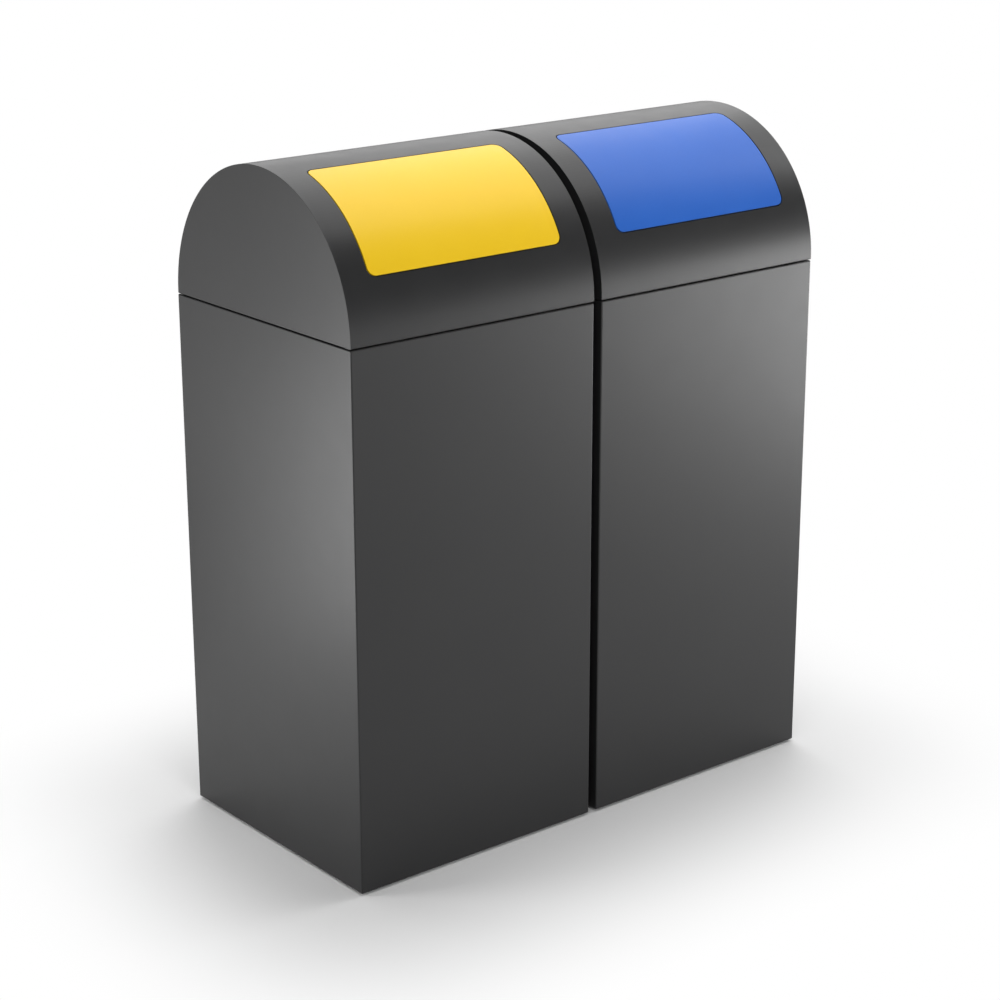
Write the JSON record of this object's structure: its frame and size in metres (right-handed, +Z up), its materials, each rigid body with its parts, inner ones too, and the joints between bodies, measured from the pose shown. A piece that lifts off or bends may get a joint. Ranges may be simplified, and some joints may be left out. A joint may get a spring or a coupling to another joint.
{
  "type": "double recycling bin",
  "caption": "Joined sheet-steel recycling bins with rear-hinged barrel hoods, flush self-closing push flaps and lift-out liners with folding bails.",
  "frame": {"origin": "on the floor, in the middle of the pair of cabinets", "axes": "+X along the pair from the yellow bin to the blue one, -Y towards the flaps, +Z up"},
  "size_m": [0.773, 0.391, 0.9064],
  "materials": {
    "anthracite_coat": "satin powder coat, anthracite grey, very fine orange peel",
    "black_coat": "matt black powder coat",
    "yellow_coat": "satin powder coat, signal yellow",
    "blue_coat": "satin powder coat, signal blue",
    "galvanised_steel": "hot-dip galvanised sheet with a faint spangle",
    "zinc_steel": "bright zinc plating",
    "spring_steel": "oiled spring wire",
    "black_rubber": "matt moulded rubber"
  },
  "bodies": {
    "cabinets": {"spacer_tubes": "anthracite_coat", "left_body_wrap": "anthracite_coat", "left_back_panel": "anthracite_coat", "left_floor_pan": "anthracite_coat", "left_feet": "black_rubber", "left_hood_buffers": "black_rubber", "left_hinge_body_leaf": "anthracite_coat", "left_hinge_pin": "zinc_steel", "right_body_wrap": "anthracite_coat", "right_back_panel": "anthracite_coat", "right_floor_pan": "anthracite_coat", "right_feet": "black_rubber", "right_hood_buffers": "black_rubber", "right_hinge_body_leaf": "anthracite_coat", "right_hinge_pin": "zinc_steel"},
    "left_hood": {"left_hinge_hood_leaf": "anthracite_coat", "left_hood_wrapper": "anthracite_coat", "left_hood_left_cheek": "anthracite_coat", "left_hood_right_cheek": "anthracite_coat", "left_flap_brackets": "zinc_steel", "left_flap_rod": "zinc_steel", "left_flap_springs": "spring_steel"},
    "left_flap": {"left_flap_panel": "yellow_coat", "left_flap_plate": "black_coat"},
    "left_liner": {"left_liner": "galvanised_steel", "left_liner_ears": "galvanised_steel"},
    "left_bail": {"left_bail": "zinc_steel"},
    "right_hood": {"right_hinge_hood_leaf": "anthracite_coat", "right_hood_wrapper": "anthracite_coat", "right_hood_left_cheek": "anthracite_coat", "right_hood_right_cheek": "anthracite_coat", "right_flap_brackets": "zinc_steel", "right_flap_rod": "zinc_steel", "right_flap_springs": "spring_steel"},
    "right_flap": {"right_flap_panel": "blue_coat", "right_flap_plate": "black_coat"},
    "right_liner": {"right_liner": "galvanised_steel", "right_liner_ears": "galvanised_steel"},
    "right_bail": {"right_bail": "zinc_steel"}
  },
  "joints": [
    {"name": "left_hood_hinge", "type": "hinge", "parent": "cabinets", "child": "left_hood", "pos_m": [-0.1965, 0.19385, 0.7135], "axis": [-1, 0, 0], "range_deg": [0, 95]},
    {"name": "left_flap_pivot", "type": "hinge", "parent": "left_hood", "child": "left_flap", "pos_m": [-0.1965, -0.03277, 0.8968], "axis": [1, 0, 0], "range_deg": [0, 68], "stiffness_Nm_per_rad": 1, "springref_deg": -114.59, "deforming": ["left_flap_springs"]},
    {"name": "left_liner_lift", "type": "slide", "parent": "cabinets", "child": "left_liner", "axis": [0, 0, 1], "range_m": [0, 0.08]},
    {"name": "left_bail_swing", "type": "hinge", "parent": "left_liner", "child": "left_bail", "pos_m": [-0.1965, 0, 0.6938], "axis": [1, 0, 0], "range_deg": [0, 180]},
    {"name": "right_hood_hinge", "type": "hinge", "parent": "cabinets", "child": "right_hood", "pos_m": [0.1965, 0.19385, 0.7135], "axis": [-1, 0, 0], "range_deg": [0, 95]},
    {"name": "right_flap_pivot", "type": "hinge", "parent": "right_hood", "child": "right_flap", "pos_m": [0.1965, -0.03277, 0.8968], "axis": [1, 0, 0], "range_deg": [0, 68], "stiffness_Nm_per_rad": 1, "springref_deg": -114.59, "deforming": ["right_flap_springs"]},
    {"name": "right_liner_lift", "type": "slide", "parent": "cabinets", "child": "right_liner", "axis": [0, 0, 1], "range_m": [0, 0.08]},
    {"name": "right_bail_swing", "type": "hinge", "parent": "right_liner", "child": "right_bail", "pos_m": [0.1965, 0, 0.6938], "axis": [1, 0, 0], "range_deg": [0, 180]}
  ]
}
